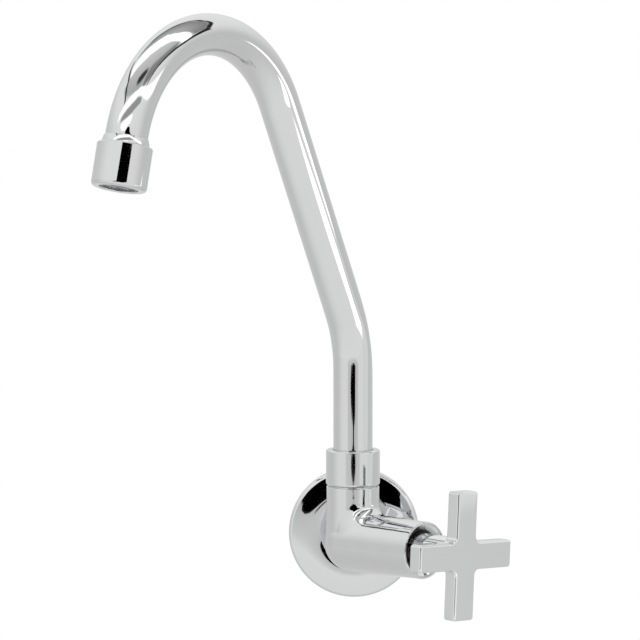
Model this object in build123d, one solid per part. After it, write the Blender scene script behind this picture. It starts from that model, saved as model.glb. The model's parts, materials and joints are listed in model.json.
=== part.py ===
# Wall-mounted cold water faucet with a swivelling gooseneck spout and a cross handle.
# Millimetres and degrees. +Z is up and the wall is the plane y = 0, with the faucet on its -Y side.
# The origin is the centre of the inlet, in the wall plane. The handle is on the user's right, +X.
# At rest the valve is closed and the spout is swung to the user's left.
from build123d import *
from math import cos, radians, sin, sqrt, tan
import os

# ---------------------------------------------------------------- layout
neck_reach = 27.4  # from the wall plane to the vertical axis of the neck
valve_angle = 45.0  # the valve's axis, turned from the wall's normal towards +X
spout_angle = 34.6  # the spout at rest, turned from the wall's normal towards -X
handle_angle = -3.0  # the cross at rest, turned about the valve's axis

# ---------------------------------------------------------------- clearances
slip_gap = 0.3  # between pieces that move past each other and don't guide each other
running_gap = 0.06  # between a turning shaft and the bore that guides it
fit_gap = 0.03  # between pieces that are screwed, brazed or pressed together
thread_relief = 0.5  # open groove that shows where one piece is screwed up to another

past = 1.0  # a cutting tool starts and ends this far outside what it cuts
near = 1e-3  # points closer than this count as the same point

# ---------------------------------------------------------------- valve body, a brass casting
neck_radius = 12.8
neck_root_radius = 13.5  # the neck swells a little where it meets the elbow
neck_straight_height = 16.0  # from here up the neck is a plain cylinder
neck_shoulder_height = 26.1  # over the valve's axis, where the nut sits
elbow_radius = 14.6
elbow_drop = 1.2  # the elbow's centre, below the valve's axis
elbow_shift = 1.1  # and towards the valve
housing_radius = 13.65  # at the mouth of the valve housing
housing_drop = 0.15
housing_length = 49.5  # from the neck's axis to the mouth
housing_lip_round = 0.45
crotch_round = 2.6
shank_radius = 11.2
shank_relief = 1.0  # the plain shank ends this far in front of the wall plane
inlet_thread_radius = 10.48  # G 1/2 pipe thread, outer radius
inlet_thread_length = 14.0  # behind the wall plane
inlet_water_radius = 4.5
outlet_water_radius = 2.8
seat_depth = 10.0  # the valve seat, from the neck's axis
chamber_radius = 9.8  # water space round the headwork
headwork_thread_radius = 10.48  # G 1/2, in the valve housing
headwork_thread_length = 13.0
mouth_radius = 12.85

# ---------------------------------------------------------------- swivel joint of the spout
neck_thread_radius = 11.4
neck_rim_height = 37.5
swivel_bore_radius = 9.2
swivel_bore_floor = 14.0
neck_water_radius = 6.5
neck_water_floor = 8.0
nut_radius = 13.1
nut_lip = 2.15
nut_foot_round = 1.35
nut_top_round = 1.0
friction_washer_thickness = 0.8
bush_flange = 2.3
bush_flange_radius = 10.6
bush_bore_radius = 6.3
bush_plug_length = 17.0
bush_spigot_length = 7.5
glide_ring_thickness = 1.3
glide_ring_split = 1.5
oring_section = 1.5
oring_first_depth = 4.5  # from the neck's rim to the upper ring's middle
oring_pitch = 5.0

# ---------------------------------------------------------------- spout tube
tube_radius = 9.525
tube_wall = 1.0
lower_bend_height = 85.8  # over the valve's axis, where the tube starts to lean out
lower_bend_radius = 50.0
lower_bend_angle = 27.4
rise_length = 115.4
gooseneck_radius = 60.2
gooseneck_angle = 138.4
tip_run = 3.8  # straight end of the tube, down to the aerator's top face

# ---------------------------------------------------------------- outlet
adapter_base_radius = 10.9
adapter_top_radius = 10.0
adapter_height = 3.5
adapter_thread_length = 8.0
adapter_seat = 1.6  # ring inside the adapter that the tube's end stands on
aerator_radius = 12.45
aerator_length = 19.5
aerator_top_round = 0.7
aerator_foot_round = 1.6
aerator_thread_length = 12.4
aerator_mouth_radius = 8.7
aerator_mouth_lip = 1.9
aerator_mouth_round = 0.5
cage_bore_radius = 8.0
cage_wall = 1.6
cage_flange = 1.4
cage_ledge = 0.7
aerator_washer_thickness = 2.0
aerator_washer_bore = 7.2
diffuser_thickness = 1.4
diffuser_hole_radius = 0.65
jet_circle_radius = 5.5
jet_count = 10
screen_thickness = 0.5
screen_height = 2.0
screen_rim = 0.5
screen_pitch = 1.5
screen_opening = 1.0

# ---------------------------------------------------------------- wall flange
flange_radius = 32.05
flange_rim_round = 2.2
flange_crest_radius = 20.0  # the face is highest here, and sinks to the rim and to the shank
flange_crest_depth = 7.6  # from the wall
flange_crest_round = 44.0
flange_back_round = 34.0
flange_outer_slope = 11.5  # degrees, at the rim
flange_inner_slope = 10.0  # degrees, at the shank
flange_wall = 1.0
grip_ring_section = 1.6

# ---------------------------------------------------------------- headwork
disc_radius = 7.6
disc_thickness = 3.2
disc_hub_radius = 2.2
disc_port_radius = 6.4
disc_port_angle = 76.0
disc_slot_width = 3.0
disc_slot_depth = 1.2
seat_seal_bore = 5.2
seat_seal_height = 2.2
disc_key_width = 2.0
cup_wall = 0.9  # wall of the headwork's cup round the discs
cup_lift = 0.9  # the cup stands clear of the seat by this much
window_count = 4
window_width = 6.0
spindle_dog_width = 6.0
spindle_dog = 1.6
spindle_collar_radius = 6.6
spindle_collar = 0.8
thrust_washer_thickness = 0.7
spindle_radius = 4.9
spindle_oring_section = 1.3
spindle_oring_cover = 3.0  # from the shoulder in to the outer ring's middle
spindle_oring_pitch = 4.0
hexagon_flats = 21.0
hexagon_height = 3.4
gasket_thickness = 1.0
clip_thickness = 0.9
clip_depth = 0.7
clip_ring = 1.6
clip_mouth = 6.7
spline_teeth = 20
spline_radius = 4.0
spline_root_radius = 3.55
spline_tooth_shares = (0.1, 0.28, 0.5, 0.68)  # a tooth's four corners, in parts of the pitch
spline_length = 15.0
ring_lip = 0.5  # the trim ring stands this far inside the mouth
ring_dish = 3.3  # depth of its dished face
ring_wall = 1.3  # its thickness at the hub
ring_edge = 0.5

# ---------------------------------------------------------------- cross handle
handle_reach = 27.3  # front face of the cross, from the housing's mouth
arm_span = 61.0
arm_width = 13.1
arm_depth = 7.15
arm_corner_round = 3.0  # between the arms
arm_end_round = 1.6
arm_edge_round = 1.0
hub_radius = 8.15
hub_blend = 0.5
hub_recess_radius = 7.0
hub_recess = 2.6
grub_screw_radius = 2.0
grub_socket_flats = 2.0
grub_socket_depth = 1.8

# ---------------------------------------------------------------- places worked out from the sizes
valve_plane = Plane(
    origin=(0, -neck_reach, 0),
    x_dir=(cos(radians(valve_angle)), sin(radians(valve_angle)), 0),
    z_dir=(sin(radians(valve_angle)), -cos(radians(valve_angle)), 0),
)
neck_plane = Plane(origin=(0, -neck_reach, 0))
wall_plane = Plane(origin=(0, 0, 0), x_dir=(1, 0, 0), z_dir=(0, -1, 0))
spout_plane = Plane(
    origin=(0, -neck_reach, 0),
    x_dir=(-sin(radians(spout_angle)), -cos(radians(spout_angle)), 0),
    z_dir=(0, 0, 1),
)
handle_plane = Plane(valve_plane.location * Rot(0, 0, handle_angle))

nut_foot_height = neck_shoulder_height + thread_relief
bush_flange_height = neck_rim_height + friction_washer_thickness
tube_foot_height = bush_flange_height + bush_flange
nut_lip_height = tube_foot_height + glide_ring_thickness
nut_top_height = nut_lip_height + nut_lip
nut_bore_radius = bush_flange_radius + slip_gap
tube_bore_radius = tube_radius - tube_wall
oring_root_radius = swivel_bore_radius - running_gap / 2 - oring_section
oring_groove = oring_section + slip_gap

cage_top = adapter_thread_length + aerator_washer_thickness
cage_foot = aerator_length - aerator_mouth_lip
cage_radius = cage_bore_radius + cage_wall
lower_screen_foot = cage_foot - cage_ledge
upper_screen_foot = lower_screen_foot - screen_height
diffuser_foot = upper_screen_foot - screen_height

fixed_disc_depth = seat_depth + seat_seal_height
moving_disc_depth = fixed_disc_depth + disc_thickness
dog_depth = moving_disc_depth + disc_thickness
thrust_washer_depth = dog_depth + spindle_dog + spindle_collar
headwork_step_depth = thrust_washer_depth + thrust_washer_thickness
cup_bore_radius = disc_radius + fit_gap
cup_radius = cup_bore_radius + cup_wall
spindle_bore_radius = spindle_radius + running_gap
spindle_oring_root = spindle_bore_radius - running_gap / 2 - spindle_oring_section
clip_root_radius = spindle_radius - clip_depth
ring_front_depth = housing_length - ring_lip
headwork_top_depth = ring_front_depth - ring_dish - ring_wall
hexagon_depth = headwork_top_depth - hexagon_height
headwork_shoulder_depth = hexagon_depth - gasket_thickness
headwork_thread_start = headwork_shoulder_depth - headwork_thread_length
ring_bore_radius = hub_radius + slip_gap
clip_start = headwork_top_depth + slip_gap / 2
hub_start = ring_front_depth - ring_dish + slip_gap
handle_back = housing_length + handle_reach - arm_depth
spline_start = hub_start + hub_recess
spline_end = spline_start + spline_length
grub_screw_depth = (spline_start + spline_end) / 2


# ---------------------------------------------------------------- helpers
def outline(points):
    """A face in the XZ plane from its corners, (x, z), or (x, z, radius) for a rounded one."""
    corners = [(point[0], 0, point[1]) for point in points]
    radii = [sum(point[2:]) for point in points]
    return make_face(FilletPolyline(*corners, radius=radii, close=True))


def bar(place, length, width, start, end):
    """A rectangular bar that lies across the normal of its place."""
    return place * (Pos(0, 0, (start + end) / 2) * Box(length, width, end - start))


def turned(place, points):
    """A turned piece: an outline of (radius, height) corners spun about the normal of its place."""
    return place * revolve(outline(points), Axis.Z)


def rod(place, radius, start, end):
    """A plain cylinder along the normal of its place."""
    return place * (Pos(0, 0, (start + end) / 2) * Cylinder(radius, end - start))


def ring(place, outer, inner, start, end):
    """A plain washer along the normal of its place."""
    return rod(place, outer, start, end) - rod(place, inner, start - past, end + past)


def seal_ring(place, root_radius, outer_radius, height):
    """A round-section rubber ring that fills the space from its groove's root to the wall it seals on."""
    section = (outer_radius - root_radius) / 2
    return place * (Pos(0, 0, height) * Torus(root_radius + section, section))


def save(piece, node):
    piece.label = node
    export_step(piece, f"parts/{node}.step")


# ---------------------------------------------------------------- valve body
def casting():
    """The outside of the elbow: neck, ball, tapered valve housing and inlet shank, run together."""
    neck_height = neck_shoulder_height
    neck = turned(
        neck_plane,
        [
            (0, -elbow_drop),
            (neck_root_radius, -elbow_drop),
            (neck_radius, neck_straight_height),
            (neck_radius, neck_height),
            (0, neck_height),
        ],
    )
    ball = valve_plane * (Pos(0, -elbow_drop, elbow_shift) * Sphere(elbow_radius))
    root = Pos(0, -elbow_drop, elbow_shift) * Circle(elbow_radius)
    mouth = Pos(0, -housing_drop, housing_length) * Circle(housing_radius)
    housing = valve_plane * loft([root, mouth], ruled=True)
    shank = rod(wall_plane, shank_radius, shank_relief, neck_reach)
    body = neck + ball + housing
    crotch = [e for e in body.edges() if meets(e, neck, housing)]
    body = fillet(crotch, crotch_round)
    return body + shank


def meets(edge, first, second):
    """True for an edge that lies on the skins of both solids, where one runs into the other."""
    middle = edge @ 0.5
    skins = [min(f.distance_to(middle) for f in s.faces()) for s in (first, second)]
    return max(skins) < near and edge.geom_type not in (GeomType.CIRCLE, GeomType.LINE)


def valve_body():
    body = casting()
    # neck: thread for the nut, then the bore that the spout's bush turns in, and the water space under it
    body += rod(neck_plane, neck_thread_radius, 0, neck_rim_height)
    body -= rod(neck_plane, swivel_bore_radius, swivel_bore_floor, neck_rim_height + past)
    body -= rod(neck_plane, neck_water_radius, neck_water_floor, swivel_bore_floor + past)
    # inlet: threaded end and the water way in to the seat
    body += rod(wall_plane, inlet_thread_radius, -inlet_thread_length, shank_relief + past)
    body -= rod(wall_plane, inlet_water_radius, -inlet_thread_length - past, neck_reach)
    body -= rod(valve_plane, inlet_water_radius, 0, seat_depth + past)
    body -= valve_plane * Sphere(inlet_water_radius)
    # valve housing: chamber, thread and mouth, one inside the other
    body -= rod(valve_plane, chamber_radius, seat_depth, headwork_shoulder_depth)
    body -= rod(valve_plane, headwork_thread_radius, headwork_thread_start, headwork_shoulder_depth + past)
    body -= rod(valve_plane, mouth_radius, headwork_shoulder_depth, housing_length + past)
    # outlet: slanted drilling from the chamber back up into the neck
    start = Vector(0, neck_water_floor + outlet_water_radius, 0)
    end = Vector(0, chamber_radius - outlet_water_radius / 2, seat_depth + outlet_water_radius)
    slant = Plane(origin=start, z_dir=end - start)
    body -= valve_plane * rod(slant, outlet_water_radius, 0, (end - start).length)
    starts = {e: valve_plane.to_local_coords(e @ 0) for e in body.edges()}
    at_mouth = [e for e, v in starts.items() if abs(v.Z - housing_length) < near]
    outermost = max(at_mouth, key=lambda e: abs(starts[e].Y) + abs(starts[e].X))
    return fillet(outermost, housing_lip_round)


# ---------------------------------------------------------------- wall flange
def flange_crest_corner():
    """Where the face's two slopes would meet if the crest weren't rounded."""
    outer, inner = radians(flange_outer_slope), radians(flange_inner_slope)
    tangent = flange_crest_round * tan((outer + inner) / 2)
    touch_radius = flange_crest_radius + flange_crest_round * sin(outer)
    touch_depth = flange_crest_depth - flange_crest_round * (1 - cos(outer))
    return touch_radius - tangent * cos(outer), touch_depth + tangent * sin(outer)


def flange_face_depth(radius):
    """Depth of the face's straight slopes, from the wall, at a radius."""
    crest_radius, crest_depth = flange_crest_corner()
    slope = flange_outer_slope if radius > crest_radius else flange_inner_slope
    return crest_depth - abs(radius - crest_radius) * tan(radians(slope))


def wall_flange():
    """A pressed cover plate: rounded rim, low rounded crest, and a short collar behind for the rubber ring."""
    bore = shank_radius + slip_gap
    pocket = shank_radius + grip_ring_section
    collar = pocket + flange_wall
    crest_radius, crest_depth = flange_crest_corner()
    rim_depth = flange_face_depth(flange_radius)
    pocket_depth = flange_face_depth(bore) - flange_wall
    outside = [
        (flange_radius, 0),
        (flange_radius, rim_depth, flange_rim_round),
        (crest_radius, crest_depth, flange_crest_round),
        (bore, flange_face_depth(bore)),
    ]
    inside = [
        (bore, pocket_depth),
        (pocket, pocket_depth),
        (pocket, pocket_depth - grip_ring_section),
        (collar, pocket_depth - grip_ring_section),
        (collar, flange_face_depth(collar) - flange_wall),
        (crest_radius, crest_depth - flange_wall, flange_back_round),
        (flange_radius - flange_wall, rim_depth - flange_wall, flange_rim_round - flange_wall),
        (flange_radius - flange_wall, 0),
    ]
    return turned(wall_plane, outside + inside)


def flange_grip_ring():
    pocket_depth = flange_face_depth(shank_radius + slip_gap) - flange_wall
    middle = pocket_depth - grip_ring_section / 2
    return seal_ring(wall_plane, shank_radius, shank_radius + grip_ring_section, middle)


# ---------------------------------------------------------------- swivel joint of the spout
def spout_nut():
    thread = neck_thread_radius + fit_gap
    thread_top = neck_rim_height + slip_gap
    lip_bore = tube_radius + slip_gap
    points = [
        (thread, nut_foot_height),
        (nut_radius, nut_foot_height, nut_foot_round),
        (nut_radius, nut_top_height, nut_top_round),
        (lip_bore, nut_top_height),
        (lip_bore, nut_lip_height),
        (nut_bore_radius, nut_lip_height),
        (nut_bore_radius, thread_top),
        (thread, thread_top),
    ]
    return turned(neck_plane, points)


def friction_washer():
    bore = swivel_bore_radius + fit_gap
    return ring(neck_plane, bush_flange_radius, bore, neck_rim_height, bush_flange_height)


def glide_ring():
    """A split ring: it is sprung over the tube before the nut is screwed down."""
    outer = nut_bore_radius - fit_gap
    washer = ring(neck_plane, outer, tube_radius + slip_gap, tube_foot_height, nut_lip_height)
    split = Box(nut_bore_radius, glide_ring_split, 4 * glide_ring_thickness)
    return washer - spout_plane * (Pos(-nut_bore_radius, 0, tube_foot_height) * split)


def oring_heights():
    return [neck_rim_height - oring_first_depth - i * oring_pitch for i in range(2)]


def swivel_bush():
    """The bush in the foot of the tube: a plug with two ring grooves, a flange, and a spigot in the tube."""
    plug = swivel_bore_radius - running_gap
    foot = bush_flange_height - bush_plug_length
    points = [
        (bush_bore_radius, foot),
        (plug, foot),
        (plug, bush_flange_height),
        (bush_flange_radius, bush_flange_height),
        (bush_flange_radius, tube_foot_height),
        (tube_bore_radius - fit_gap, tube_foot_height),
        (tube_bore_radius - fit_gap, tube_foot_height + bush_spigot_length),
        (bush_bore_radius, tube_foot_height + bush_spigot_length),
    ]
    bush = turned(neck_plane, points)
    for height in oring_heights():
        groove_foot = height - oring_groove / 2
        bush -= ring(neck_plane, plug + past, oring_root_radius, groove_foot, groove_foot + oring_groove)
    return bush


def spout_oring(height):
    return seal_ring(neck_plane, oring_root_radius, oring_root_radius + oring_section, height)


# ---------------------------------------------------------------- spout tube
def spout_path(start_height, end_run):
    """The tube's centre line in the spout's own plane, x outwards and y up."""
    foot = Line((0, start_height), (0, lower_bend_height))
    lean = JernArc(foot @ 1, foot % 1, lower_bend_radius, -lower_bend_angle)
    rise = Line(lean @ 1, lean @ 1 + rise_length * (lean % 1))
    gooseneck = JernArc(rise @ 1, rise % 1, gooseneck_radius, -gooseneck_angle)
    tip = Line(gooseneck @ 1, gooseneck @ 1 + end_run * (gooseneck % 1))
    return [foot, lean, rise, gooseneck, tip]


def tip_place():
    """The plane of the aerator's top face, with its normal along the falling water."""
    tip = spout_path(tube_foot_height, tip_run)[-1]
    place = Plane(origin=tip @ 1, z_dir=tip % 1, x_dir=(0, 0, 1))
    return spout_plane * (Plane.XZ * place)


def spout_tube():
    tube_end = tip_run + adapter_thread_length - adapter_seat
    path = Wire(spout_path(tube_foot_height, tube_end))
    start = Plane(origin=path @ 0, z_dir=path % 0)
    section = start * (Circle(tube_radius) - Circle(tube_bore_radius))
    return spout_plane * (Plane.XZ * sweep(section, path=path))


# ---------------------------------------------------------------- outlet, down from the aerator's top face
def tip_adapter():
    socket = tube_radius + fit_gap
    seat = adapter_thread_length - adapter_seat
    points = [
        (socket, -adapter_height),
        (adapter_top_radius, -adapter_height),
        (adapter_base_radius, 0),
        (adapter_base_radius, adapter_thread_length),
        (tube_bore_radius, adapter_thread_length),
        (tube_bore_radius, seat),
        (socket, seat),
    ]
    return turned(tip_plane, points)


def aerator_housing():
    thread = adapter_base_radius + fit_gap
    mouth = aerator_length - aerator_mouth_lip
    points = [
        (thread, 0),
        (aerator_radius, 0, aerator_top_round),
        (aerator_radius, aerator_length, aerator_foot_round),
        (aerator_mouth_radius, aerator_length, aerator_mouth_round),
        (aerator_mouth_radius, mouth),
        (cage_radius + fit_gap, mouth),
        (cage_radius + fit_gap, aerator_thread_length),
        (thread, aerator_thread_length),
    ]
    return turned(tip_plane, points)


def aerator_washer():
    outer = adapter_base_radius - slip_gap
    return ring(tip_plane, outer, aerator_washer_bore, adapter_thread_length, cage_top)


def aerator_cage():
    points = [
        (cage_bore_radius, cage_top),
        (adapter_base_radius - slip_gap, cage_top),
        (adapter_base_radius - slip_gap, cage_top + cage_flange),
        (cage_radius, cage_top + cage_flange),
        (cage_radius, cage_foot),
        (cage_bore_radius - cage_ledge, cage_foot),
        (cage_bore_radius - cage_ledge, cage_foot - cage_ledge),
        (cage_bore_radius, cage_foot - cage_ledge),
    ]
    return turned(tip_plane, points)


def aerator_screen(foot):
    """A pressed cup: a mesh floor of square openings and a rim that carries the next piece."""
    outer = cage_bore_radius - fit_gap
    inner = outer - screen_rim
    cup = rod(tip_plane, outer, foot - screen_height, foot)
    cup -= rod(tip_plane, inner, foot - screen_height - past, foot - screen_thickness)
    reach = int(inner / screen_pitch)
    steps = [i * screen_pitch for i in range(-reach, reach + 1)]
    corner = screen_opening / sqrt(2)
    spots = [(x, y) for x in steps for y in steps if sqrt(x * x + y * y) + corner < inner]
    openings = Sketch() + [Pos(x, y) * Rectangle(screen_opening, screen_opening) for x, y in spots]
    return cup - tip_plane * (Pos(0, 0, foot - screen_height) * extrude(openings, screen_height + past))


def aerator_diffuser():
    """A plate with a ring of small drilled jets, which breaks up the stream."""
    outer = cage_bore_radius - fit_gap
    top = diffuser_foot - diffuser_thickness
    plate = rod(tip_plane, outer, top, diffuser_foot)
    jets = PolarLocations(jet_circle_radius, jet_count)
    holes = Sketch() + [jet * Circle(diffuser_hole_radius) for jet in jets]
    return plate - tip_plane * (Pos(0, 0, top - past) * extrude(holes, diffuser_thickness + 2 * past))


# ---------------------------------------------------------------- headwork, measured along the valve's axis
def port_sketch(turn):
    """Two opposite openings between the disc's middle and its rim."""
    wedge_reach = 2 * disc_port_radius
    half = radians(disc_port_angle / 2)
    corner = (wedge_reach * cos(half), wedge_reach * sin(half))
    wedge = make_face(Polyline((0, 0), corner, (corner[0], -corner[1]), close=True))
    band = Circle(disc_port_radius) - Circle(disc_hub_radius)
    port = band & wedge
    return Rot(0, 0, turn) * port + Rot(0, 0, turn + 180) * port


def disc(radius, start, turn):
    plate = rod(valve_plane, radius, start, start + disc_thickness)
    ports = extrude(port_sketch(turn), disc_thickness + 2 * past)
    return plate - valve_plane * (Pos(0, 0, start - past) * ports)


def fixed_disc():
    """The lower disc, with two keys on its rim that stop it turning in the headwork's cup."""
    keys = bar(valve_plane, disc_key_width, 2 * (cup_radius - fit_gap), fixed_disc_depth, moving_disc_depth)
    keys &= ring(valve_plane, cup_radius, disc_radius - cup_wall, fixed_disc_depth, moving_disc_depth)
    return disc(disc_radius, fixed_disc_depth, 0) + keys


def moving_disc():
    """The upper disc: a quarter turn from the lower one when the valve is closed, slotted for the spindle."""
    plate = disc(disc_radius - slip_gap, moving_disc_depth, 90)
    slot_foot = dog_depth - disc_slot_depth
    return plate - bar(valve_plane, 2 * disc_radius, disc_slot_width, slot_foot, dog_depth + past)


def seat_seal():
    return ring(valve_plane, disc_radius, seat_seal_bore, seat_depth, fixed_disc_depth)


def headwork_body():
    """A cup for the discs with water windows, a threaded barrel, a hexagon and the spindle's bore."""
    thread = headwork_thread_radius - fit_gap
    points = [
        (cup_bore_radius, seat_depth + cup_lift),
        (cup_radius, seat_depth + cup_lift),
        (cup_radius, headwork_thread_start),
        (thread, headwork_thread_start),
        (thread, hexagon_depth),
        (spindle_bore_radius, hexagon_depth),
        (spindle_bore_radius, headwork_step_depth),
        (cup_bore_radius, headwork_step_depth),
    ]
    body = turned(valve_plane, points)
    head = extrude(RegularPolygon(hexagon_flats / 2, 6, major_radius=False), hexagon_height)
    body += valve_plane * (Pos(0, 0, hexagon_depth) * head)
    body -= rod(valve_plane, spindle_bore_radius, headwork_step_depth, headwork_top_depth + past)
    window_end = headwork_step_depth - slip_gap
    for i in range(window_count):
        side = Plane(valve_plane.location * Rot(0, 0, (i + 0.5) * 360 / window_count))
        window = Box(4 * cup_wall, window_width, window_end - dog_depth)
        body -= side * (Pos(cup_radius, 0, (dog_depth + window_end) / 2) * window)
    notch_width = disc_key_width + fit_gap
    notch_end = moving_disc_depth + fit_gap
    return body - bar(valve_plane, notch_width, 2 * cup_radius + past, seat_depth, notch_end)


def headwork_gasket():
    outer = mouth_radius - slip_gap
    return ring(valve_plane, outer, headwork_thread_radius, headwork_shoulder_depth, hexagon_depth)


def thrust_washer():
    bore = spindle_radius + running_gap
    return ring(valve_plane, spindle_collar_radius, bore, thrust_washer_depth, headwork_step_depth)


def mouth_ring():
    """The dished ring that closes the mouth of the housing round the handle's hub."""
    outer = mouth_radius - fit_gap
    points = [
        (ring_bore_radius, headwork_top_depth),
        (outer, headwork_top_depth),
        (outer, ring_front_depth),
        (outer - ring_edge, ring_front_depth),
        (ring_bore_radius, ring_front_depth - ring_dish),
    ]
    return turned(valve_plane, points)


# ---------------------------------------------------------------- spindle and handle
def spindle_oring_depths():
    return [headwork_shoulder_depth - spindle_oring_cover - i * spindle_oring_pitch for i in (1, 0)]


def spline_outline(root, tip):
    """Straight-sided teeth: each takes four corners, two on the root circle and two on the tip circle."""
    pitch = 360 / spline_teeth
    corners = []
    for tooth in range(spline_teeth):
        for share, radius in zip(spline_tooth_shares, (root, tip, tip, root)):
            angle = radians((tooth + share) * pitch)
            corners.append((radius * cos(angle), radius * sin(angle)))
    return make_face(Polyline(*corners, close=True))


def spindle():
    """A tongue in the moving disc's slot, a dog and a collar under the washer, the stem and the spline."""
    stem_end = spline_start - slip_gap
    collar_foot = thrust_washer_depth - spindle_collar
    collar = rod(handle_plane, spindle_collar_radius, collar_foot, thrust_washer_depth)
    envelope = rod(handle_plane, spindle_collar_radius, dog_depth - disc_slot_depth, thrust_washer_depth)
    tongue_width = disc_slot_width - 2 * running_gap
    tongue_foot = dog_depth - disc_slot_depth + running_gap
    tongue = bar(valve_plane, 3 * disc_radius, tongue_width, tongue_foot, dog_depth + running_gap)
    dog = bar(valve_plane, 3 * disc_radius, spindle_dog_width, dog_depth, thrust_washer_depth)
    piece = collar + (tongue + dog) & envelope
    piece += rod(handle_plane, spindle_radius, thrust_washer_depth, stem_end)
    for depth in spindle_oring_depths():
        groove = spindle_oring_section / 2 + slip_gap
        piece -= ring(handle_plane, spindle_radius + past, spindle_oring_root, depth - groove, depth + groove)
    clip_end = clip_start + clip_thickness
    piece -= ring(handle_plane, spindle_radius + past, clip_root_radius, clip_start, clip_end)
    teeth = extrude(spline_outline(spline_root_radius, spline_radius), spline_end - stem_end)
    return piece + handle_plane * (Pos(0, 0, stem_end) * teeth)


def spindle_oring(depth):
    return seal_ring(valve_plane, spindle_oring_root, spindle_oring_root + spindle_oring_section, depth)


def spindle_clip():
    """An open snap ring in the groove over the headwork."""
    outer = clip_root_radius + clip_ring
    clip = ring(handle_plane, outer, clip_root_radius, clip_start, clip_start + clip_thickness)
    mouth = Box(2 * clip_root_radius, clip_mouth, 4 * clip_thickness)
    return clip - handle_plane * (Pos(clip_root_radius, 0, clip_start) * mouth)


def cross_sketch():
    arms = Rectangle(arm_width, arm_span) + Rectangle(arm_span, arm_width)
    inner = [v for v in arms.vertices() if max(abs(v.X), abs(v.Y)) < arm_width]
    arms = fillet(inner, arm_corner_round)
    ends = [v for v in arms.vertices() if max(abs(v.X), abs(v.Y)) > arm_span / 2 - fit_gap]
    return fillet(ends, arm_end_round)


def cross_handle():
    """The cross and its hub, broached for the spindle's spline and drilled for the locking screw."""
    cross = extrude(cross_sketch(), arm_depth)
    rims = cross.faces().sort_by(Axis.Z)[0].edges() + cross.faces().sort_by(Axis.Z)[-1].edges()
    cross = fillet(rims, arm_edge_round)
    piece = cross + rod(Plane.XY, hub_radius, hub_start - handle_back, arm_depth / 2)
    circles = [e for e in piece.edges().filter_by(GeomType.CIRCLE) if abs(e.radius - hub_radius) < near]
    seam = [e for e in circles if abs(e.center().Z) < near]
    piece = handle_plane * (Pos(0, 0, handle_back) * fillet(seam, hub_blend))
    piece -= rod(handle_plane, hub_recess_radius, hub_start - past, spline_start)
    broach = spline_outline(spline_root_radius + fit_gap, spline_radius + fit_gap)
    piece -= handle_plane * (Pos(0, 0, hub_start) * extrude(broach, spline_end + slip_gap - hub_start))
    return piece - rod(grub_plane, grub_screw_radius, 0, hub_radius + past)


def handle_grub_screw():
    start = spline_radius + fit_gap
    end = hub_radius - slip_gap
    socket = extrude(RegularPolygon(grub_socket_flats / 2, 6, major_radius=False), grub_socket_depth + past)
    screw = rod(grub_plane, grub_screw_radius - fit_gap, start, end)
    return screw - grub_plane * (Pos(0, 0, end - grub_socket_depth) * socket)


tip_plane = tip_place()
grub_plane = Plane(
    origin=handle_plane.from_local_coords((0, 0, grub_screw_depth)),
    x_dir=handle_plane.z_dir,
    z_dir=-handle_plane.y_dir,
)

# ---------------------------------------------------------------- all pieces, by node
os.makedirs("parts", exist_ok=True)
pieces = {
    "valve_body": valve_body(),
    "wall_flange": wall_flange(),
    "flange_grip_ring": flange_grip_ring(),
    "spout_nut": spout_nut(),
    "friction_washer": friction_washer(),
    "glide_ring": glide_ring(),
    "swivel_bush": swivel_bush(),
    "spout_oring_upper": spout_oring(oring_heights()[0]),
    "spout_oring_lower": spout_oring(oring_heights()[1]),
    "spout_tube": spout_tube(),
    "tip_adapter": tip_adapter(),
    "aerator_housing": aerator_housing(),
    "aerator_washer": aerator_washer(),
    "aerator_cage": aerator_cage(),
    "aerator_diffuser": aerator_diffuser(),
    "aerator_screen_upper": aerator_screen(upper_screen_foot),
    "aerator_screen_lower": aerator_screen(lower_screen_foot),
    "headwork_body": headwork_body(),
    "headwork_gasket": headwork_gasket(),
    "seat_seal": seat_seal(),
    "fixed_disc": fixed_disc(),
    "moving_disc": moving_disc(),
    "thrust_washer": thrust_washer(),
    "mouth_ring": mouth_ring(),
    "spindle": spindle(),
    "spindle_oring_inner": spindle_oring(spindle_oring_depths()[0]),
    "spindle_oring_outer": spindle_oring(spindle_oring_depths()[1]),
    "spindle_clip": spindle_clip(),
    "cross_handle": cross_handle(),
    "handle_grub_screw": handle_grub_screw(),
}
for node, piece in pieces.items():
    save(piece, node)
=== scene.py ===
# A wall-mounted cold water faucet, all of it polished chrome: elbow body, round cover plate, cross handle
# and gooseneck spout. Lengths in the pieces' dictionaries are millimetres and angles degrees. The meshes,
# the camera and the studio are in metres, in the CAD's frame.
import json
import math

import bpy
import numpy as np
from mathutils import Matrix


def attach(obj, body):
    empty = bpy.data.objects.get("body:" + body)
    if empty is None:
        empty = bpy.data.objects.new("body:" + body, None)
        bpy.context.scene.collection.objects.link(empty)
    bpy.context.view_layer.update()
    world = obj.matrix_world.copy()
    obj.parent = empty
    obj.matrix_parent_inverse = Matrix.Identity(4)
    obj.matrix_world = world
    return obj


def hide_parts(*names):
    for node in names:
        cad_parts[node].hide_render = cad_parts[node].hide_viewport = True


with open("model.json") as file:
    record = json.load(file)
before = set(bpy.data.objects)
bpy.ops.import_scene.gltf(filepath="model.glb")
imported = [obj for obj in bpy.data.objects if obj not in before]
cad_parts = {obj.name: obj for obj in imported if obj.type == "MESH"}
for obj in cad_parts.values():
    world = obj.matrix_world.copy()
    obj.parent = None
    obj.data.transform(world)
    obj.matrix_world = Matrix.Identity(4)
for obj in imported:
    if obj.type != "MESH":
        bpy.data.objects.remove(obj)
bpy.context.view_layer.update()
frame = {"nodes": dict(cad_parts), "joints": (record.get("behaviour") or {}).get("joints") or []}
print("frame loaded:", len(frame["nodes"]), "CAD nodes")

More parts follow.
